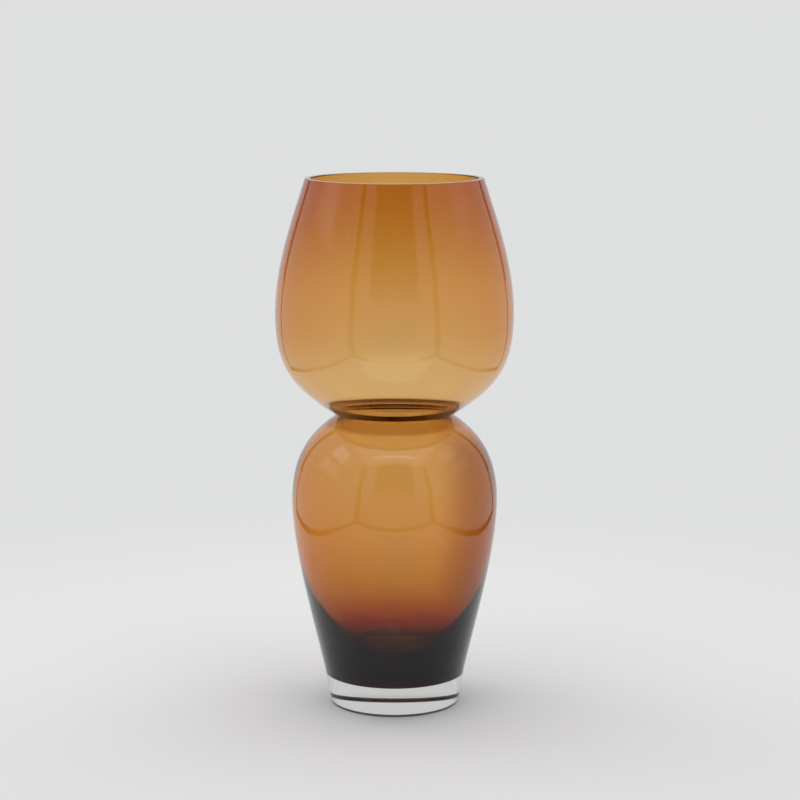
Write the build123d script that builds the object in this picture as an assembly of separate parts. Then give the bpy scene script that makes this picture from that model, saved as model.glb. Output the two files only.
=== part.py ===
from build123d import *
import os
from math import cos, radians, sin, tan

# A double gourd vase in cased glass: an amber bubble inside a clear casing, on a thick clear foot.
# Lengths are millimetres, angles are degrees. Z is the axis of turning and the vase stands on Z = 0.

# Heights of the turning points of the outline
total_height = 380.0
upper_belly_height = 284.4
waist_height = 211.1
lower_belly_height = 148.7
foot_height = 20.6

# Radii of the outside at those heights
rim_radius = 63.4
upper_belly_radius = 85.0
waist_radius = 40.8
lower_belly_radius = 73.9
foot_top_radius = 50.2

# Lean of the glass where it meets the rim, the crease of the waist and the foot
rim_lean = 16.9
waist_rise = 32.3
waist_fall = 32.7
foot_lean = 10.0

# How far each curve of the outline keeps its direction before it turns
rim_run = 23.9
upper_belly_run_up = 35.9
upper_belly_run_down = 39.5
waist_run_up = 38.6
waist_run_down = 27.4
lower_belly_run_up = 29.2
lower_belly_run_down = 39.3
foot_run = 21.8

# Thickness of the clear casing, measured level
rim_casing = 2.0
upper_belly_casing = 2.4
neck_casing = 2.4
lower_belly_casing = 3.8
foot_casing = 10.2

# Thickness of the amber lining, measured level
rim_amber = 2.15
upper_belly_amber = 1.1
neck_amber = 1.1
lower_belly_amber = 1.15

# The neck: a round brow in the floor of the upper bulb, above the bore that joins the two hollows
brow_radius = 48.0
brow_casing = 1.5
brow_amber = 1.0
brow_run_out = 27.0
brow_run_in = 4.0
inner_belly_run_down = 36.0
lip_rise = 4.0
lip_amber = 2.0
lip_run = 1.2
bore_drop = 2.0
bore_drop_amber = 0.4

# The bottom of the lower bulb: the hollow goes down to a thin amber floor on the clear foot
hollow_run_down = 50.0
floor_run = 51.0
floor_amber = 2.0
colour_run_down = 75.0
colour_foot_run = 20.0

# Worked edges: the softened edges of the rim and the narrow bevel round the base
rim_polish = 0.6
base_bevel = 1.8
base_bevel_rise = 1.0


def toward(start, angle, run):
    """A point at a run from the start, in the direction of the angle above level."""
    return (start[0] + run * cos(radians(angle)), start[1] + run * sin(radians(angle)))


def curve(start, start_guide, end_guide, end):
    """A smooth curve in the half plane right of the axis, from (radius, height) points."""
    points = [(radius, 0, height) for radius, height in (start, start_guide, end_guide, end)]
    return Bezier(*points)


def straight(start, end):
    """A straight side in the same half plane."""
    return Line((start[0], 0, start[1]), (end[0], 0, end[1]))


def turned(sides):
    """The solid that a closed outline sweeps round the axis."""
    return revolve(make_face(sides), Axis.Z)


def shell(outer, inner, top, bottom):
    """The shell between two skins, closed by a level ring at each end."""
    return turned(outer + inner + [straight(*top), straight(*bottom)])


def edges_at(solid, height, radius):
    """The round edges of a turned solid at one height and radius."""
    circles = solid.edges().filter_by(GeomType.CIRCLE)
    return circles.filter_by(lambda e: abs(e.center().Z - height) < 0.01 and abs(e.radius - radius) < 0.01)


class UpperSkin:
    """A surface of the upper bulb from the rim to the waist, as sides of an outline."""

    def __init__(self, rim_inset, belly_inset):
        self.rim = (rim_radius - rim_inset, total_height)
        self.belly = (upper_belly_radius - belly_inset, upper_belly_height)
        self.wall = curve(self.rim, toward(self.rim, rim_lean - 90, rim_run),
                          toward(self.belly, 90, upper_belly_run_up), self.belly)

    def to_crease(self):
        """The outside goes straight on to the crease of the waist."""
        self.waist = (waist_radius, waist_height)
        underside = curve(self.belly, toward(self.belly, -90, upper_belly_run_down),
                          toward(self.waist, waist_rise, waist_run_up), self.waist)
        self.sides = [self.wall, underside]
        return self

    def to_bore(self, brow_depth, bore_radius, lip):
        """The inside follows the outside as far as the brow, then rolls over a lip into the bore."""
        crease_to_brow = (brow_radius - waist_radius) * tan(radians(waist_rise))
        brow = (brow_radius, waist_height + crease_to_brow + brow_depth)
        edge = (bore_radius, waist_height + lip)
        self.waist = (bore_radius, waist_height)
        self.sides = [
            self.wall,
            curve(self.belly, toward(self.belly, -90, inner_belly_run_down),
                  toward(brow, waist_rise, brow_run_out), brow),
            curve(brow, toward(brow, waist_rise + 180, brow_run_in), toward(edge, 90, lip_run), edge),
            straight(edge, self.waist),
        ]
        return self


class LowerSkin:
    """A surface of the lower bulb from the waist to the belly, as sides of an outline."""

    def __init__(self, waist_edge_radius, belly_inset, drop):
        self.waist = (waist_edge_radius, waist_height)
        self.belly = (lower_belly_radius - belly_inset, lower_belly_height)
        shoulder = (waist_edge_radius, waist_height - drop)
        self.sides = [curve(shoulder, toward(shoulder, -waist_fall, waist_run_down),
                            toward(self.belly, 90, lower_belly_run_up), self.belly)]
        if drop > 0:
            self.sides.append(straight(self.waist, shoulder))

    def to_foot(self, belly_run, inset, lean, run):
        """Goes on down the flank to the level of the foot."""
        self.foot = (foot_top_radius - inset, foot_height)
        self.sides.append(curve(self.belly, toward(self.belly, -90, belly_run),
                                toward(self.foot, 90 - lean, run), self.foot))
        return self

    def to_floor(self):
        """Goes on down the flank and closes on the axis as the floor of the hollow."""
        self.floor = (0, foot_height + floor_amber)
        self.sides.append(curve(self.belly, toward(self.belly, -90, hollow_run_down),
                                toward(self.floor, 0, floor_run), self.floor))
        return self


# Radii of the colour boundary and of the bore in the neck
neck_colour_radius = waist_radius - neck_casing
bore_radius = neck_colour_radius - neck_amber

# The three skins of each bulb: outside, colour boundary and hollow
upper_outside = UpperSkin(0, 0).to_crease()
upper_colour = UpperSkin(rim_casing, upper_belly_casing)
upper_colour.to_bore(brow_casing, neck_colour_radius, lip_rise - lip_amber)
upper_hollow = UpperSkin(rim_casing + rim_amber, upper_belly_casing + upper_belly_amber)
upper_hollow.to_bore(brow_casing + brow_amber, bore_radius, lip_rise)

lower_outside = LowerSkin(waist_radius, 0, 0)
lower_outside.to_foot(lower_belly_run_down, 0, foot_lean, foot_run)
lower_colour = LowerSkin(neck_colour_radius, lower_belly_casing, bore_drop - bore_drop_amber)
lower_colour.to_foot(colour_run_down, foot_casing, 0, colour_foot_run)
lower_hollow = LowerSkin(bore_radius, lower_belly_casing + lower_belly_amber, bore_drop).to_floor()


def clear_upper_casing():
    """Clear overlay of the upper bulb, with the outer edge of the rim polished round."""
    casing = shell(upper_outside.sides, upper_colour.sides, (upper_outside.rim, upper_colour.rim),
                   (upper_outside.waist, upper_colour.waist))
    return fillet(edges_at(casing, total_height, rim_radius), rim_polish)


def amber_upper_bulb():
    """Amber lining of the upper bulb: thick at the mouth, thin at the belly, rolled over at the neck."""
    lining = shell(upper_colour.sides, upper_hollow.sides, (upper_colour.rim, upper_hollow.rim),
                   (upper_colour.waist, upper_hollow.waist))
    return fillet(edges_at(lining, total_height, upper_hollow.rim[0]), rim_polish)


def clear_lower_casing():
    """Clear overlay of the lower bulb, thicker towards the foot."""
    return shell(lower_outside.sides, lower_colour.sides, (lower_outside.waist, lower_colour.waist),
                 (lower_outside.foot, lower_colour.foot))


def amber_lower_bulb():
    """Amber lining of the lower bulb, which gathers into a dark heavy bottom round a bowl-shaped hollow."""
    bottom = (0, foot_height)
    sides = lower_colour.sides + lower_hollow.sides
    sides += [straight(lower_colour.waist, lower_hollow.waist), straight(lower_colour.foot, bottom)]
    return turned(sides + [straight(bottom, lower_hollow.floor)])


def clear_foot():
    """Thick clear foot: a cone that goes on from the flank, with a narrow bevel round the base."""
    top = (0, foot_height)
    cone_height = foot_height - base_bevel_rise
    cone_end = (foot_top_radius - cone_height * tan(radians(foot_lean)), base_bevel_rise)
    base_edge = (cone_end[0] - base_bevel, 0)
    corners = [top, lower_outside.foot, cone_end, base_edge, (0, 0), top]
    return turned([straight(start, end) for start, end in zip(corners, corners[1:])])


pieces = {
    "amber_upper_bulb": amber_upper_bulb(),
    "amber_lower_bulb": amber_lower_bulb(),
    "clear_upper_casing": clear_upper_casing(),
    "clear_lower_casing": clear_lower_casing(),
    "clear_foot": clear_foot(),
}

os.makedirs("parts", exist_ok=True)
for name, piece in pieces.items():
    export_step(piece, f"parts/{name}.step")
    print(name, "volume", round(piece.volume / 1000, 1), "cm3")
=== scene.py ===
# %% [markdown]
# # A gourd vase in cased amber glass
#
# The vase is blown glass: an amber bubble with a clear layer over it, and a thick clear foot below.
# Nothing on it moves, so every piece rides on the one body of the frame. The lesson draws the outline,
# turns it on a lathe made of Geometry Nodes, fills it with glass, and lights it. Glass has no colour of
# its own surface to show, so most of its look comes from how thick each layer is and from what stands
# around it.

# %% Load the frame
import math

import bmesh
import bpy
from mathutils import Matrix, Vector


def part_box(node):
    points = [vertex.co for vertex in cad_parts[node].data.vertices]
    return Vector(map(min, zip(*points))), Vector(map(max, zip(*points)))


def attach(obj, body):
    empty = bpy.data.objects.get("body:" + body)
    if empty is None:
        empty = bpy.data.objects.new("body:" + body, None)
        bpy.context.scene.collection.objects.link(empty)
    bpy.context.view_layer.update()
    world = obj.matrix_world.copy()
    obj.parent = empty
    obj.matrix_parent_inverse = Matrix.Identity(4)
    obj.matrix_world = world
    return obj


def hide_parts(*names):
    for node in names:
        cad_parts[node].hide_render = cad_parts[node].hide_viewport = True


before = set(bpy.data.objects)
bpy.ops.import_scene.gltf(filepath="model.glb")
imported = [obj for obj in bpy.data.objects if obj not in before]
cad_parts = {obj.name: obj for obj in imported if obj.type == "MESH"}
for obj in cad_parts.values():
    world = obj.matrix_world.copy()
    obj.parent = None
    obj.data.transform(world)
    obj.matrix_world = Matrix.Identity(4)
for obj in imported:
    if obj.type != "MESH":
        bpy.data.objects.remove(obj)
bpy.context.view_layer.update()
print("nodes of the frame:", sorted(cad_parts))

# %% [markdown]
# ## Sizes
#
# Heights and the widest radii are measured on the frame, so that the glass keeps the size of the
# solids. What a box can't tell, such as the lean of the rim or the thickness of a layer, is a named
# value here. A run says how far a curve keeps its direction before it turns.

# %% Sizes measured on the frame
MM = 0.001


def reach(node):
    """The greatest radius of a turned node."""
    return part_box(node)[1].x


total_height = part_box("clear_upper_casing")[1].z
waist_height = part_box("clear_upper_casing")[0].z
foot_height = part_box("clear_foot")[1].z
upper_belly_radius = reach("clear_upper_casing")
lower_belly_radius = reach("clear_lower_casing")
foot_top_radius = reach("clear_foot")
upper_belly_casing = upper_belly_radius - reach("amber_upper_bulb")
lower_belly_casing = lower_belly_radius - reach("amber_lower_bulb")
print(f"vase {total_height / MM:.1f} mm tall, casing {upper_belly_casing / MM:.1f} mm above",
      f"and {lower_belly_casing / MM:.1f} mm below")

# %% Sizes of the outline
upper_belly_height = 284.4 * MM
lower_belly_height = 148.7 * MM
rim_radius = 63.4 * MM
waist_radius = 40.8 * MM
rim_lean, rim_run = 16.9, 23.9 * MM
upper_belly_run_up, upper_belly_run_down = 35.9 * MM, 39.5 * MM
waist_rise, waist_run_up = 32.3, 38.6 * MM
waist_fall, waist_run_down = 32.7, 27.4 * MM
lower_belly_run_up, lower_belly_run_down = 29.2 * MM, 39.3 * MM
foot_lean, foot_run = 10.0, 21.8 * MM
rim_polish = 0.6 * MM
crease_round, edge_round = 0.8 * MM, 0.3 * MM
base_bevel, base_bevel_rise = 1.8 * MM, 1.0 * MM

# %% Sizes of the layers
rim_casing, rim_amber = 2.0 * MM, 2.15 * MM
upper_belly_amber = 1.1 * MM
neck_casing, neck_amber = 2.4 * MM, 1.1 * MM
brow_radius, brow_run_out, brow_run_in = 48.0 * MM, 27.0 * MM, 4.0 * MM
brow_casing, brow_amber = 1.5 * MM, 1.0 * MM
inner_belly_run_down = 36.0 * MM
lip_rise, lip_amber, lip_run = 4.0 * MM, 2.0 * MM, 1.2 * MM
bore_drop, bore_drop_amber = 2.0 * MM, 0.4 * MM
lower_belly_amber = 1.15 * MM
foot_casing = 10.2 * MM
colour_run_down, colour_foot_run = 75.0 * MM, 20.0 * MM
floor_amber, floor_run, hollow_run_down = 2.0 * MM, 51.0 * MM, 50.0 * MM
neck_colour_radius = waist_radius - neck_casing
bore_radius = neck_colour_radius - neck_amber
print(f"bore of the neck {2 * bore_radius / MM:.1f} mm wide")

# %% [markdown]
# ## The outline
#
# A turned shape is known by its outline on one side of the axis. It could be a long list of points, but
# a few curves with handles say the same in a form that a person can change. Every curve here is four
# points: start, two guides, and end, each a radius and a height.

# %% Curves with guides
SAME_PLACE = 1e-9
ROUNDNESS = 0.6


def at(radius, height):
    """A point of the outline."""
    return Vector((radius, height))


def toward(start, angle, run):
    """A point at a run from the start, in the direction of the angle above level."""
    return start + run * Vector((math.cos(math.radians(angle)), math.sin(math.radians(angle))))


def straight(start, end):
    """A straight side."""
    return [start, start.lerp(end, 1 / 3), start.lerp(end, 2 / 3), end]


def backwards(chain):
    """The same curves, run through from the other end."""
    return [curve[::-1] for curve in reversed(chain)]


def split(curve, share):
    """The two parts of a curve on either side of a share of it."""
    a, b, c, d = curve
    ab, bc, cd = a.lerp(b, share), b.lerp(c, share), c.lerp(d, share)
    abc, bcd = ab.lerp(bc, share), bc.lerp(cd, share)
    middle = abc.lerp(bcd, share)
    return [a, ab, abc, middle], [middle, bcd, cd, d]


def soften(chain, corner, size):
    """Puts a small round in place of one corner of a chain."""
    here = next(i for i, curve in enumerate(chain) if (curve[3] - corner).length < SAME_PLACE)
    coming, going = chain[here], chain[here + 1]
    # Near its end a curve moves by three times its guide for each share, so this cuts off the size.
    coming = split(coming, 1 - size / (3 * (coming[3] - coming[2]).length))[0]
    going = split(going, size / (3 * (going[1] - going[0]).length))[1]
    guides = [coming[3].lerp(corner, ROUNDNESS), going[0].lerp(corner, ROUNDNESS)]
    rounded = [coming[3], *guides, going[0]]
    chain[here:here + 2] = [coming, rounded, going]


# %% [markdown]
# The glass has three skins: the outside, the boundary between clear and amber, and the hollow. They are
# alike down to the neck, so one function draws the bowl of the upper bulb for all three, and one draws
# the shoulder of the lower bulb. Inside the neck the two inner skins come down to a flat brow and roll
# over a lip into a short bore. That brow shows as a dark ring at the waist of the real vase.

# %% The three skins


def drop(belly, run_down, end, angle, run):
    """A curve that drops from a belly and comes to its end at an angle."""
    return [belly, toward(belly, -90, run_down), toward(end, angle, run), end]


def upper_bowl(rim, belly, end, run_down, run_up):
    """The wall of the upper bulb and its underside, from the rim down."""
    wall = [rim, toward(rim, rim_lean - 90, rim_run), toward(belly, 90, upper_belly_run_up), belly]
    return [wall, drop(belly, run_down, end, waist_rise, run_up)]


def inner_upper(rim_inset, belly_inset, brow_depth, bore, lip):
    """An inner skin of the upper bulb, from the rim over the lip to the middle of the waist."""
    level = brow_radius - waist_radius
    brow = at(brow_radius, waist_height + level * math.tan(math.radians(waist_rise)) + brow_depth)
    edge = at(bore, waist_height + lip)
    bowl = upper_bowl(at(rim_radius - rim_inset, total_height),
                      at(upper_belly_radius - belly_inset, upper_belly_height),
                      brow, inner_belly_run_down, brow_run_out)
    roll = [brow, toward(brow, waist_rise + 180, brow_run_in), toward(edge, 90, lip_run), edge]
    return bowl + [roll, straight(edge, at(bore, waist_height))]


def shoulder(start, belly):
    """The shoulder of the lower bulb."""
    return [start, toward(start, -waist_fall, waist_run_down), toward(belly, 90, lower_belly_run_up), belly]


def inner_shoulder(bore, belly, depth):
    """An inner skin of the lower bulb's shoulder, below the bore."""
    end = at(bore, waist_height - depth)
    return [straight(at(bore, waist_height), end), shoulder(end, belly)]


waist = at(waist_radius, waist_height)
lower_belly = at(lower_belly_radius, lower_belly_height)
foot_edge = at(foot_top_radius, foot_height)
foot_taper = (foot_height - base_bevel_rise) * math.tan(math.radians(foot_lean))
base_edge = at(foot_top_radius - foot_taper, base_bevel_rise)
base_rest = at(base_edge.x - base_bevel, 0)
outside = upper_bowl(at(rim_radius, total_height), at(upper_belly_radius, upper_belly_height),
                     waist, upper_belly_run_down, waist_run_up)
outside += [shoulder(waist, lower_belly),
            drop(lower_belly, lower_belly_run_down, foot_edge, 90 - foot_lean, foot_run),
            straight(foot_edge, base_edge), straight(base_edge, base_rest), straight(base_rest, at(0, 0))]

colour_belly = at(lower_belly_radius - lower_belly_casing, lower_belly_height)
colour_foot = at(foot_top_radius - foot_casing, foot_height)
upper_colour = inner_upper(rim_casing, upper_belly_casing, brow_casing,
                           neck_colour_radius, lip_rise - lip_amber)
lower_colour = inner_shoulder(neck_colour_radius, colour_belly, bore_drop - bore_drop_amber)
lower_colour.append(drop(colour_belly, colour_run_down, colour_foot, 90, colour_foot_run))

hollow_belly = at(lower_belly_radius - lower_belly_casing - lower_belly_amber, lower_belly_height)
hollow_floor = at(0, foot_height + floor_amber)
upper_hollow = inner_upper(rim_casing + rim_amber, upper_belly_casing + upper_belly_amber,
                           brow_casing + brow_amber, bore_radius, lip_rise)
lower_hollow = inner_shoulder(bore_radius, hollow_belly, bore_drop)
lower_hollow.append(drop(hollow_belly, hollow_run_down, hollow_floor, 0, floor_run))
print("curves:", len(outside), "outside,", len(upper_hollow + lower_hollow), "in the hollow")

# %% [markdown]
# ## Sums on wires
#
# Node trees are easier to read as sums. A Wire is an output socket that can be added and multiplied,
# and each sum adds its own Math node. A Graph makes any other node in one call: its type, its settings,
# and what goes into its sockets. The nodes that come up again and again have short calls of their own.

# %% Wires


class Wire:
    """An output socket that takes part in sums."""

    def __init__(self, graph, socket):
        self.graph = graph
        self.socket = socket

    def __add__(self, other):
        return self.graph.sum("ADD", self, other)

    __radd__ = __add__

    def __mul__(self, other):
        return self.graph.sum("MULTIPLY", self, other)

    __rmul__ = __mul__

    def __sub__(self, other):
        return self.graph.sum("SUBTRACT", self, other)

    def __rsub__(self, other):
        return self.graph.sum("SUBTRACT", other, self)

    def __truediv__(self, other):
        return self.graph.sum("DIVIDE", self, other)

    def __abs__(self):
        return self.graph.sum("ABSOLUTE", self, 0)


def faded(start, goal, share):
    """The start where the share is 0, the goal where it is 1, and between them in between."""
    return start + share * (goal - start)


# %% Graphs
COLOUR_A, COLOUR_B, COLOUR_RESULT = 6, 7, 2


class Graph:
    """A node tree that is written as calls."""

    def __init__(self, tree):
        self.tree = tree

    def feed(self, node, sockets):
        """Fills sockets of a node; they are named or numbered, and take a value or a Wire."""
        for name, value in sockets.items():
            if isinstance(value, Wire):
                self.tree.links.new(value.socket, node.inputs[name])
            else:
                node.inputs[name].default_value = value

    def node(self, kind, settings, sockets):
        """Adds a node with its settings and what goes into its sockets."""
        made = self.tree.nodes.new(kind)
        for name, value in settings.items():
            setattr(made, name, value)
        self.feed(made, sockets)
        return made

    def wire(self, kind, settings, sockets, output=0):
        """Adds a node and gives one of its outputs."""
        return Wire(self, self.node(kind, settings, sockets).outputs[output])

    def sum(self, operation, first, second):
        """A Math node on two values."""
        return self.wire("ShaderNodeMath", {"operation": operation}, {0: first, 1: second})

    def step(self, value, low, high):
        """0 below low, 1 above high, and a soft step between."""
        return self.wire("ShaderNodeMapRange", {"interpolation_type": "SMOOTHSTEP"},
                         {"Value": value, "From Min": low, "From Max": high})

    def band(self, value, start, full, fading, gone):
        """1 inside a band and 0 outside it, with a soft step at each side."""
        return self.step(value, start, full) * (1 - self.step(value, fading, gone))

    def mix(self, share, first, second, blend="MIX"):
        """A Mix node on two colours."""
        return self.wire("ShaderNodeMix", {"data_type": "RGBA", "blend_type": blend},
                         {"Factor": share, COLOUR_A: first, COLOUR_B: second}, COLOUR_RESULT)

    def place(self, kind="Object"):
        """The place of each point of a surface, or with Generated the direction in a world."""
        return self.wire("ShaderNodeTexCoord", {}, {}, kind)

    def parts(self, vector):
        """The three parts of a vector."""
        return [Wire(self, socket) for socket in self.node("ShaderNodeSeparateXYZ", {}, {0: vector}).outputs]

    def noise(self, place, scale, detail):
        """Soft noise between 0 and 1."""
        return self.wire("ShaderNodeTexNoise", {}, {"Vector": place, "Scale": scale, "Detail": detail}, "Fac")


# %% [markdown]
# ## The lathe
#
# A lathe sweeps an outline round an axis. Curve to Mesh does that if the path is a circle too small to
# see: the outline then rides round the axis and keeps its own radius. The seam closes by itself, and
# Merge by Distance closes the poles. The skin input draws the whole surface in by a hair, which the
# amber needs, because it lies inside the clear glass and two faces in one place would flicker.

# %% The lathe as Geometry Nodes
LATHE_INPUTS = {
    "Around": ("NodeSocketInt", 156),
    "Steps": ("NodeSocketInt", 30),
    "Skin": ("NodeSocketFloat", 0.0),
    "Glass": ("NodeSocketMaterial", None),
}
SPINDLE_RADIUS, POLE_DISTANCE = 1e-7, 2e-6


def lathe_tree():
    """The tree that turns a curve object's outline into a closed surface."""
    tree = bpy.data.node_groups.new("lathe", "GeometryNodeTree")
    tree.interface.new_socket("Outline", in_out="INPUT", socket_type="NodeSocketGeometry")
    for name, (kind, default) in LATHE_INPUTS.items():
        socket = tree.interface.new_socket(name, in_out="INPUT", socket_type=kind)
        if default is not None:
            socket.default_value = default
    tree.interface.new_socket("Surface", in_out="OUTPUT", socket_type="NodeSocketGeometry")
    graph = Graph(tree)
    inputs = graph.node("NodeGroupInput", {}, {}).outputs
    given = {socket.name: Wire(graph, socket) for socket in inputs if socket.name}
    outline = graph.wire("GeometryNodeSetSplineResolution", {},
                         {"Geometry": given["Outline"], "Resolution": given["Steps"]})
    spindle = graph.wire("GeometryNodeCurvePrimitiveCircle", {},
                         {"Resolution": given["Around"], "Radius": SPINDLE_RADIUS})
    swept = graph.wire("GeometryNodeCurveToMesh", {}, {"Curve": spindle, "Profile Curve": outline})
    upright = graph.wire("GeometryNodeTransform", {}, {"Geometry": swept, "Rotation": (math.pi, 0.0, 0.0)})
    closed = graph.wire("GeometryNodeMergeByDistance", {}, {"Geometry": upright, "Distance": POLE_DISTANCE})
    normal = graph.wire("GeometryNodeInputNormal", {}, {})
    inward = graph.wire("ShaderNodeVectorMath", {"operation": "SCALE"},
                        {0: normal, "Scale": given["Skin"] * -1.0})
    drawn_in = graph.wire("GeometryNodeSetPosition", {}, {"Geometry": closed, "Offset": inward})
    smooth = graph.wire("GeometryNodeSetShadeSmooth", {}, {"Geometry": drawn_in, "Shade Smooth": True})
    real = graph.wire("GeometryNodeRealizeInstances", {}, {"Geometry": smooth})
    glazed = graph.wire("GeometryNodeSetMaterial", {}, {"Geometry": real, "Material": given["Glass"]})
    graph.node("NodeGroupOutput", {}, {"Surface": glazed})
    return tree


lathe = lathe_tree()
print("lathe has", len(lathe.nodes), "nodes")

# %% Turning a piece


def outline_curve(name, chain, ring):
    """A curve object with the chain as one Bezier spline; a ring's chain ends where it starts."""
    drawing = bpy.data.curves.new(name, "CURVE")
    drawing.dimensions = "2D"
    spline = drawing.splines.new("BEZIER")
    spline.bezier_points.add(len(chain) - (1 if ring else 0))
    spline.use_cyclic_u = ring
    for i, knot in enumerate(spline.bezier_points):
        coming = chain[i - 1] if ring or i > 0 else None
        going = chain[i] if i < len(chain) else None
        here = going[0] if going else coming[3]
        knot.handle_left_type = knot.handle_right_type = "FREE"
        knot.co = here.to_3d()
        knot.handle_left = (coming[2] if coming else here).to_3d()
        knot.handle_right = (going[1] if going else here).to_3d()
    drawn = bpy.data.objects.new(name, drawing)
    bpy.context.scene.collection.objects.link(drawn)
    return drawn


def turn(name, chain, glass, ring=False, skin=0.0):
    """Turns an outline on the lathe and returns the plain closed mesh as a piece."""
    drawn = outline_curve(name + "_outline", chain, ring)
    machine = drawn.modifiers.new("lathe", "NODES")
    machine.node_group = lathe
    inputs = [item for item in lathe.interface.items_tree if item.in_out == "INPUT"]
    socket = {item.name: item.identifier for item in inputs}
    machine[socket["Skin"]] = skin
    machine[socket["Glass"]] = glass
    evaluated = drawn.evaluated_get(bpy.context.evaluated_depsgraph_get())
    mesh = bpy.data.meshes.new_from_object(evaluated)
    bpy.data.objects.remove(drawn)
    shape = bmesh.new()
    shape.from_mesh(mesh)
    bmesh.ops.recalc_face_normals(shape, faces=shape.faces)
    open_edges = sum(not edge.is_manifold for edge in shape.edges)
    volume = shape.calc_volume(signed=True)
    shape.to_mesh(mesh)
    shape.free()
    mesh.name = name
    piece = bpy.data.objects.new(name, mesh)
    bpy.context.scene.collection.objects.link(piece)
    print(f"{name}: {len(mesh.polygons)} faces, {volume / (10 * MM) ** 3:.0f} cm3, {open_edges} open edges")
    return piece


# %% [markdown]
# ## The clear glass
#
# Clear glass is a surface that bends light and a body that lets nearly all of it through, so it needs a
# smooth Principled surface with full transmission, and only a trace of absorption that greys the thick
# foot. What keeps it from looking like a computer's glass is the slight unevenness of a blown wall: it
# was shaped while it sagged and turned, so its surface is wavy by a few hundredths of a millimetre,
# over a length of a few fingers' breadth. A wipe mark here and there dulls it a little. The narrow
# bevel round the base is dark, because it faces the shadow of the gap below it, and a tint on the
# surface gives it that.

# %% Glass in general
WHITE = (1.0, 1.0, 1.0, 1.0)


def mm(*lengths):
    """Lengths in millimetres, as the metres that Blender counts in."""
    return [length * MM for length in lengths]


def surface_graph(name):
    """A material whose nodes start from the Principled surface."""
    material = bpy.data.materials.new(name)
    material.use_nodes = True
    return material, Graph(material.node_tree), material.node_tree.nodes["Principled BSDF"]


def fill(graph, absorbed):
    """Fills the body of a glass with a share of red, green and blue that is absorbed in each millimetre."""
    density = max(absorbed) / MM
    colour = [1 - share / max(absorbed) for share in absorbed]
    body = graph.wire("ShaderNodeVolumeAbsorption", {}, {"Density": density, "Color": (*colour, 1.0)})
    graph.feed(graph.tree.nodes["Material Output"], {"Volume": body})


def pulled(graph, place, length):
    """Places for a pattern that blowing has pulled long: a length under 1 makes it taller than wide."""
    return graph.wire("ShaderNodeMapping", {}, {"Vector": place, "Scale": (1.0, 1.0, length)})


def low_ring(graph, place, radii, heights):
    """1 low down and far from the axis, with a soft step between the two radii and the two heights."""
    x, y, height = graph.parts(place)
    outside_ring = graph.step(x * x + y * y, *[radius ** 2 for radius in radii])
    return outside_ring * (1 - graph.step(height, *heights))


# %% Clear glass
CLEAR_PER_MM = (0.0024, 0.0023, 0.0025)
CLEAR_INDEX = 1.5
WAVE_LENGTH, WAVE_SCALE, WAVE_DETAIL = 0.45, 26.0, 1.0
WAVE_STRENGTH, WAVE_DEPTH = 0.25, 0.4 * MM
WIPE_SCALE, WIPE_DETAIL, WIPE_EDGE, WIPE_ROUGHNESS = 55.0, 4.0, (0.62, 0.9), 0.03
# Painted shadow: a dark tint on the bevel round the base.
BEVEL_SHADOW_TINT, BEVEL_RADII, BEVEL_HEIGHTS = (0.02, 0.015, 0.02, 1.0), mm(44.7, 45.1), mm(1.5, 2.0)


def clear_glass():
    """Colourless blown glass, slightly wavy, with faint wipe marks."""
    material, graph, surface = surface_graph("clear_glass")
    place = graph.place()
    wave = graph.noise(pulled(graph, place, WAVE_LENGTH), WAVE_SCALE, WAVE_DETAIL)
    wipes = graph.noise(place, WIPE_SCALE, WIPE_DETAIL)
    bump = graph.wire("ShaderNodeBump", {},
                      {"Strength": WAVE_STRENGTH, "Distance": WAVE_DEPTH, "Height": wave})
    # Painted shadow: the bevel is tinted dark for the shadow of the gap below it.
    bevel = low_ring(graph, place, BEVEL_RADII, BEVEL_HEIGHTS)
    graph.feed(surface, {
        "Base Color": graph.mix(bevel, WHITE, BEVEL_SHADOW_TINT), "Transmission Weight": 1.0, "IOR": CLEAR_INDEX,
        "Roughness": graph.step(wipes, *WIPE_EDGE) * WIPE_ROUGHNESS, "Normal": bump})
    fill(graph, CLEAR_PER_MM)
    return material


clear = clear_glass()
print("clear glass has", len(clear.node_tree.nodes), "nodes")

# %% [markdown]
# The clear body is one closed outline: up the outside, over the rim and down the hollow. Its sharp
# corners are softened first, because even cut glass has a fine round that catches the light.

# %% The clear body
clear_chain = backwards(outside) + [straight(outside[0][0], upper_hollow[0][0])] + upper_hollow + lower_hollow
below_bore = lower_hollow[0][3]
soft_corners = [(base_edge, edge_round), (base_rest, edge_round), (waist, crease_round),
                (outside[0][0], rim_polish), (upper_hollow[0][0], rim_polish), (below_bore, crease_round)]
for corner, size in soft_corners:
    soften(clear_chain, corner, size)
clear_body = turn("clear_glass_body", clear_chain, clear)
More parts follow.
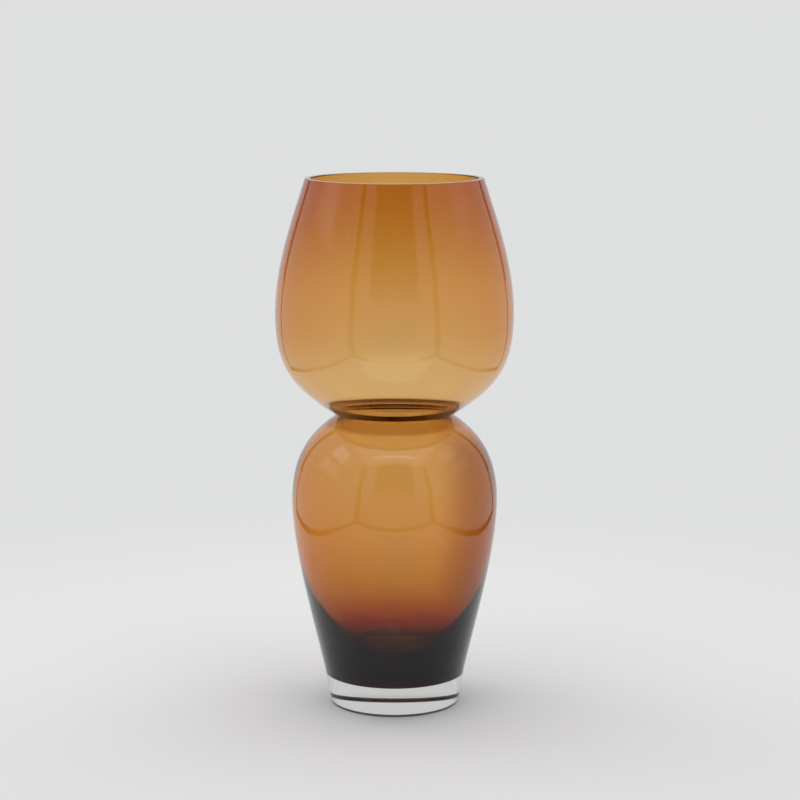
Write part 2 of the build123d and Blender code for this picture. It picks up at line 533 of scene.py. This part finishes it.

# %% [markdown]
# ## The amber glass
#
# The colour sits in the body of the amber layer, not on its surface: the longer the light's way through
# it, the deeper the tone, from honey at the thin belly to black in the bottom. So the amber gets Volume
# Absorption. Its surface bends nothing, because it lies fused inside the clear glass, and an index of 1
# says just that. Absorption is given per millimetre for red, green and blue, and the shader wants it as
# a density and a colour.
#
# Blown colour is never even. A tint on the surface of the amber stands for what thickness alone doesn't
# give: a browner rim and a heavier flank on the right of the lower bulb. The same tint also paints shade:
# a darker band below the neck, the dark ring of the brow above it, and a darker bottom.

# %% Amber glass
AMBER_PER_MM = (0.118, 0.46, 1.14)
FUSED_INDEX = 1.0
STREAK_TINT, STREAK_LENGTH, STREAK_SCALE, STREAK_DETAIL = (1.0, 0.985, 0.95, 1.0), 0.3, 40.0, 2.0
LOW_TINT, LOW_HEIGHTS = (0.86, 0.98, 0.58, 1.0), mm(60, 120)
# Painted shade: the bottom of the amber is darkened, most at its floor and at its lower corner.
SHADED_FLOOR_LIGHT, SHADED_FLOOR_HEIGHTS = 0.4, mm(22, 24)
SHADED_BOTTOM_LIGHT, SHADED_BOTTOM_HEIGHTS = 0.85, mm(30, 75)
CORNER_SHADE, CORNER_RADII, CORNER_HEIGHTS = 0.9, mm(30, 37), mm(23.5, 27)
FLANK_TINT, FLANK_TURN, FLANK_BAND = (0.78, 0.67, 0.56, 1.0), (0.42, 0.9), mm(50, 90, 185, 205)
RIM_TINT, RIM_HEIGHTS = (0.94, 1.0, 0.96, 1.0), mm(290, 360)
# Painted shade: a darker band under the neck.
NECK_SHADE_TINT, NECK_BAND = (0.8, 0.66, 0.45, 1.0), mm(201.5, 204.0, 213.0, 214.0)
# Painted shade: the brow is tinted almost black for the dark ring at the waist.
BROW_SHADE_TINT, BROW_BAND = (0.08, 0.025, 0.005, 1.0), mm(215.6, 216.2, 218.0, 218.8)


def bottom_shade(graph, place, height):
    """Painted shade of the bottom, as the share of light let by: least at its floor and its lower corner."""
    above_floor = (SHADED_BOTTOM_LIGHT - SHADED_FLOOR_LIGHT) * graph.step(height, *SHADED_FLOOR_HEIGHTS)
    above_bottom = (1 - SHADED_BOTTOM_LIGHT) * graph.step(height, *SHADED_BOTTOM_HEIGHTS)
    corner = low_ring(graph, place, CORNER_RADII, CORNER_HEIGHTS)
    return (SHADED_FLOOR_LIGHT + above_floor + above_bottom) * (1 - CORNER_SHADE * corner)


def amber_glass():
    """Amber glass that darkens with depth, with a trace of streaks from the gather."""
    material, graph, surface = surface_graph("amber_glass")
    place = graph.place()
    x, y, height = graph.parts(place)
    streak = graph.noise(pulled(graph, place, STREAK_LENGTH), STREAK_SCALE, STREAK_DETAIL)
    tint = graph.mix(streak, STREAK_TINT, WHITE)
    tint = graph.mix(1 - graph.step(height, *LOW_HEIGHTS), tint, LOW_TINT)
    # Painted shade: scaling the tint darkens the bottom.
    tint = graph.wire("ShaderNodeVectorMath", {"operation": "SCALE"},
                      {0: tint, "Scale": bottom_shade(graph, place, height)})
    radius = graph.sum("SQRT", x * x + y * y, 0.0)
    flank = graph.step(x / radius, *FLANK_TURN) * graph.band(height, *FLANK_BAND)
    tint = graph.mix(flank, tint, FLANK_TINT, "MULTIPLY")
    tint = graph.mix(graph.step(height, *RIM_HEIGHTS), tint, RIM_TINT, "MULTIPLY")
    # Painted shade: the darker band under the neck.
    tint = graph.mix(graph.band(height, *NECK_BAND), tint, NECK_SHADE_TINT)
    # Painted shade: the dark ring on the brow.
    tint = graph.mix(graph.band(height, *BROW_BAND), tint, BROW_SHADE_TINT)
    graph.feed(surface, {
        "Base Color": tint, "Transmission Weight": 1.0, "IOR": FUSED_INDEX, "Roughness": 0.0})
    fill(graph, AMBER_PER_MM)
    return material


amber = amber_glass()
print("amber glass has", len(amber.node_tree.nodes), "nodes")

# %% The amber linings
SKIN = 0.04 * MM
upper_ring = upper_colour + [straight(upper_colour[-1][3], upper_hollow[-1][3])] + backwards(upper_hollow)
upper_ring.append(straight(upper_hollow[0][0], upper_colour[0][0]))
amber_upper = turn("amber_upper_lining", backwards(upper_ring), amber, ring=True, skin=SKIN)
lower_chain = [straight(at(0, foot_height), colour_foot)] + backwards(lower_colour)
lower_chain += [straight(lower_colour[0][0], lower_hollow[0][0])] + lower_hollow
amber_lower = turn("amber_lower_lining", lower_chain, amber, skin=SKIN)

# %% [markdown]
# ## Onto the frame
#
# Each piece stands for the CAD nodes of its own glass. The clear pieces are fused on the real vase and
# light passes between them as through one body, so one closed surface stands for all three.

# %% Onto the frame
STANDS_FOR = {
    clear_body: (["clear_upper_casing", "clear_lower_casing", "clear_foot"], "clear_glass"),
    amber_upper: (["amber_upper_bulb"], "amber_glass"),
    amber_lower: (["amber_lower_bulb"], "amber_glass"),
}
for piece, (nodes, slot) in STANDS_FOR.items():
    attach(piece, "root")
    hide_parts(*nodes)
    print(piece.name, "stands for", ", ".join(nodes))

# %% [markdown]
# ## The studio
#
# Glass shows what is around it. The vase stands in a light tent: four pale walls with darker seams at
# the corners, a bright ceiling with a brighter strip, a window of two panes in each side, and an
# opening in front for the camera. The walls run down below the horizon too, where the floor plane
# stands in for them. Seams, windows and strip show only in what the glass mirrors, so the floor keeps
# its even light. Rays from the camera itself see an even pale grey instead, so that the backdrop stays
# plain, and near the vase the floor is a real matte one that takes the shadow.

# %% The tent's walls
PALE = (0.735, 0.742, 0.742, 1.0)
TENT_WIDTH, TENT_DEPTH = 0.43, 0.5
FRONT_WALL, SIDE_WALL, BACK_WALL = 0.65, 0.75, 0.74
SEAM, SEAM_EDGE = 0.06, (0.86, 0.96)


def rays_of(graph, *kinds):
    """1 for the named kinds of ray, otherwise 0."""
    rays = graph.node("ShaderNodeLightPath", {}, {})
    total = sum(Wire(graph, rays.outputs[kind]) for kind in kinds)
    return graph.sum("MINIMUM", total, 1.0)


def mirrored(graph):
    """1 for rays that a polished surface throws back, and 0 for those that pass through it."""
    return rays_of(graph, "Is Glossy Ray") * (1 - rays_of(graph, "Is Transmission Ray"))


def tent_wall(graph, x, y):
    """The wall's brightness, the share of the way out to it, and if it is the front or the back."""
    across, along = abs(x) * (1 / TENT_WIDTH), abs(y) * (1 / TENT_DEPTH)
    way = graph.sum("MAXIMUM", across, along)
    seam = graph.step(graph.sum("MINIMUM", across, along) / way, *SEAM_EDGE) * mirrored(graph)
    end = graph.sum("GREATER_THAN", along, across)
    back = end * graph.sum("GREATER_THAN", y, 0.0)
    front = end - back
    level = SIDE_WALL + back * (BACK_WALL - SIDE_WALL) + front * (FRONT_WALL - SIDE_WALL)
    return faded(level, SEAM, seam), way, front, back


# %% [markdown]
# The floor is matte near the vase and fades into the backdrop further out. What the glass sees of it
# depends on the side: at the back it is the pale sweep, and elsewhere it turns into the tent's wall
# where the wall stands. A dark fold along the wall's foot shows only in what the glass mirrors.

# %% The floor
FLOOR_SIZE, FLOOR_DROP = 40.0, 0.2 * MM
FLOOR_GREY, FLOOR_ROUGHNESS = (0.74, 0.74, 0.74, 1.0), 0.75
GRAIN_SCALE, GRAIN_DETAIL, GRAIN_ROUGHNESS = 900.0, 2.0, 0.1
WALL_FOOT, FOLD_END = (0.92, 0.98), (1.04, 1.12)
MATTE_END, MATTE_END_IN_GLASS = (0.2, 0.75), (0.06, 0.12)


def floor_finish():
    """Matte pale floor that fades into the backdrop, and shows the tent's walls to the glass."""
    material, graph, surface = surface_graph("pale_floor")
    place = graph.place()
    grain = graph.noise(place, GRAIN_SCALE, GRAIN_DETAIL)
    graph.feed(surface, {"Base Color": FLOOR_GREY, "Roughness": FLOOR_ROUGHNESS + grain * GRAIN_ROUGHNESS})
    x, y, _ = graph.parts(place)
    wall, way, _, back = tent_wall(graph, x, y)
    fold = graph.band(way, *WALL_FOOT, *FOLD_END) * mirrored(graph)
    sweep = graph.sum("MAXIMUM", rays_of(graph, "Is Camera Ray"), back)
    glow = graph.wire("ShaderNodeEmission", {}, {"Color": graph.mix(sweep, faded(wall, SEAM, fold), PALE)})
    glass = rays_of(graph, "Is Glossy Ray", "Is Transmission Ray")
    away = graph.wire("ShaderNodeVectorMath", {"operation": "LENGTH"}, {0: place}, "Value")
    backdrop = faded(graph.step(away, *MATTE_END), graph.step(away, *MATTE_END_IN_GLASS), glass)
    share = faded(glass * graph.step(way, *WALL_FOOT), backdrop, sweep)
    both = graph.wire("ShaderNodeMixShader", {},
                      {"Fac": share, 1: Wire(graph, surface.outputs["BSDF"]), 2: glow})
    graph.feed(graph.tree.nodes["Material Output"], {"Surface": both})
    return material


bpy.ops.mesh.primitive_plane_add(size=FLOOR_SIZE, location=(0.0, 0.0, -FLOOR_DROP))
studio_floor = bpy.context.object
studio_floor.name = "studio_floor"
studio_floor.data.materials.append(floor_finish())
print("floor of the studio", FLOOR_DROP / MM, "mm below the foot")

# %% [markdown]
# Above the horizon the world is the tent. A direction meets a wall at some rise over the horizon, so
# the opening, the two panes of a window with the bar between them and the edge of the ceiling are bands
# of that rise. The strip is overhead and is placed on the ceiling's own plane.

# %% The room
OPENING, OPENING_SIDES, OPENING_BAND = 0.12, (0.19, 0.25), (0.0, 0.16, 0.56, 0.68)
CEILING, CEILING_EDGE = 1.25, (0.48, 0.7)
LEFT_WINDOW, RIGHT_WINDOW = 2.0, 1.3
WINDOW_SIDES, WINDOW_BAND = (0.06, 0.18), (0.12, 0.17, 0.44, 0.54)
BAR_RISE, BAR_EDGE = 0.275, (0.0, 0.05)
LOWER_PANE, UPPER_PANE_EDGE = 0.5, (0.24, 0.31)
STRIP, STRIP_FORWARD, STRIP_EDGE, STRIP_ENDS = 2.6, 0.57, (0.02, 0.06), (0.4, 0.5)
OVERHEAD = (0.6, 0.7)


def room():
    """The tent above the horizon, and an even pale backdrop for the camera's own rays."""
    world = bpy.data.worlds.new("studio")
    bpy.context.scene.world = world
    world.use_nodes = True
    graph = Graph(world.node_tree)
    x, y, z = graph.parts(graph.place("Generated"))
    wall, way, front, back = tent_wall(graph, x, y)
    rise = z / way
    narrow = 1 - graph.step(abs(x) / way, *OPENING_SIDES)
    wall = faded(wall, OPENING, front * narrow * graph.band(rise, *OPENING_BAND))
    level = faded(wall, CEILING, graph.step(rise, *CEILING_EDGE))
    panes = graph.band(rise, *WINDOW_BAND) * graph.step(abs(rise - BAR_RISE), *BAR_EDGE)
    panes = panes * (LOWER_PANE + (1 - LOWER_PANE) * graph.step(rise, *UPPER_PANE_EDGE))
    window = panes * (1 - graph.step(abs(y / way), *WINDOW_SIDES)) * (1 - front) * (1 - back)
    bright = LEFT_WINDOW + graph.sum("GREATER_THAN", x, 0.0) * (RIGHT_WINDOW - LEFT_WINDOW)
    level = faded(level, bright, window * mirrored(graph))
    strip = 1 - graph.step(abs(y / z + STRIP_FORWARD), *STRIP_EDGE)
    strip = strip * (1 - graph.step(abs(x / z), *STRIP_ENDS)) * graph.step(z, *OVERHEAD)
    level = faded(level, STRIP, strip * mirrored(graph))
    tone = graph.mix(rays_of(graph, "Is Camera Ray"), level, PALE)
    graph.feed(graph.tree.nodes["Background"], {"Color": tone})
    print("room has", len(graph.tree.nodes), "nodes")


room()

# %% [markdown]
# The lamps are three soft panels. The glass mirrors the tent and not the lamps, so what they do is
# light the floor and draw the soft shadow round the foot.

# %% Lamps


def panel(name, place, aim, width, height, power):
    """A soft rectangular lamp that the camera doesn't see."""
    light = bpy.data.lights.new(name, "AREA")
    light.shape = "RECTANGLE"
    light.size, light.size_y = width, height
    light.energy = power
    lamp = bpy.data.objects.new(name, light)
    lamp.location = place
    lamp.rotation_euler = (Vector(aim) - Vector(place)).to_track_quat("-Z", "Y").to_euler()
    lamp.visible_camera = lamp.visible_glossy = lamp.visible_transmission = False
    bpy.context.scene.collection.objects.link(lamp)
    print(name, f"{power:.1f} W")


SIDE_PANEL = {"aim": (0.0, 0.0, 0.2), "width": 0.5, "height": 0.35}
panel("left_panel", place=(-0.68, 0.35, 0.98), power=1.4, **SIDE_PANEL)
panel("right_panel", place=(0.68, 0.35, 0.98), power=0.8, **SIDE_PANEL)
panel("top_panel", place=(0.0, 0.1, 1.9), aim=(0.0, 0.0, 0.0), width=1.6, height=1.6, power=2.4)

# %% [markdown]
# ## The camera
#
# The camera stands a little above the mouth and looks down, so the rim shows as a thin ellipse.

# %% Camera
CAMERA_DISTANCE = 1587.6 * MM
CAMERA_HEIGHT = 486.0 * MM
CAMERA_SIDE = 3.9 * MM
CAMERA_PITCH = 9.47
SENSOR_WIDTH, FOCAL_LENGTH = 36.0, 101.07
lens = bpy.data.cameras.new("camera")
lens.sensor_width = SENSOR_WIDTH
lens.lens = FOCAL_LENGTH
camera = bpy.data.objects.new("camera", lens)
camera.location = (CAMERA_SIDE, -CAMERA_DISTANCE, CAMERA_HEIGHT)
camera.rotation_euler = (math.radians(90 - CAMERA_PITCH), 0.0, 0.0)
bpy.context.scene.collection.objects.link(camera)
bpy.context.scene.camera = camera
bpy.context.scene.view_settings.view_transform = "Standard"
print(f"camera {CAMERA_DISTANCE:.2f} m in front of the axis, {CAMERA_PITCH} degrees down")

# %% [markdown]
# Light crosses many skins of glass on its way through both walls and the neck, so it is followed
# further than usual before it is given up.

# %% Light paths and the size of the result
LIGHT_BOUNCES = 40
bpy.context.scene.cycles.max_bounces = LIGHT_BOUNCES
bpy.context.scene.cycles.transmission_bounces = LIGHT_BOUNCES
bpy.context.scene.cycles.glossy_bounces = LIGHT_BOUNCES
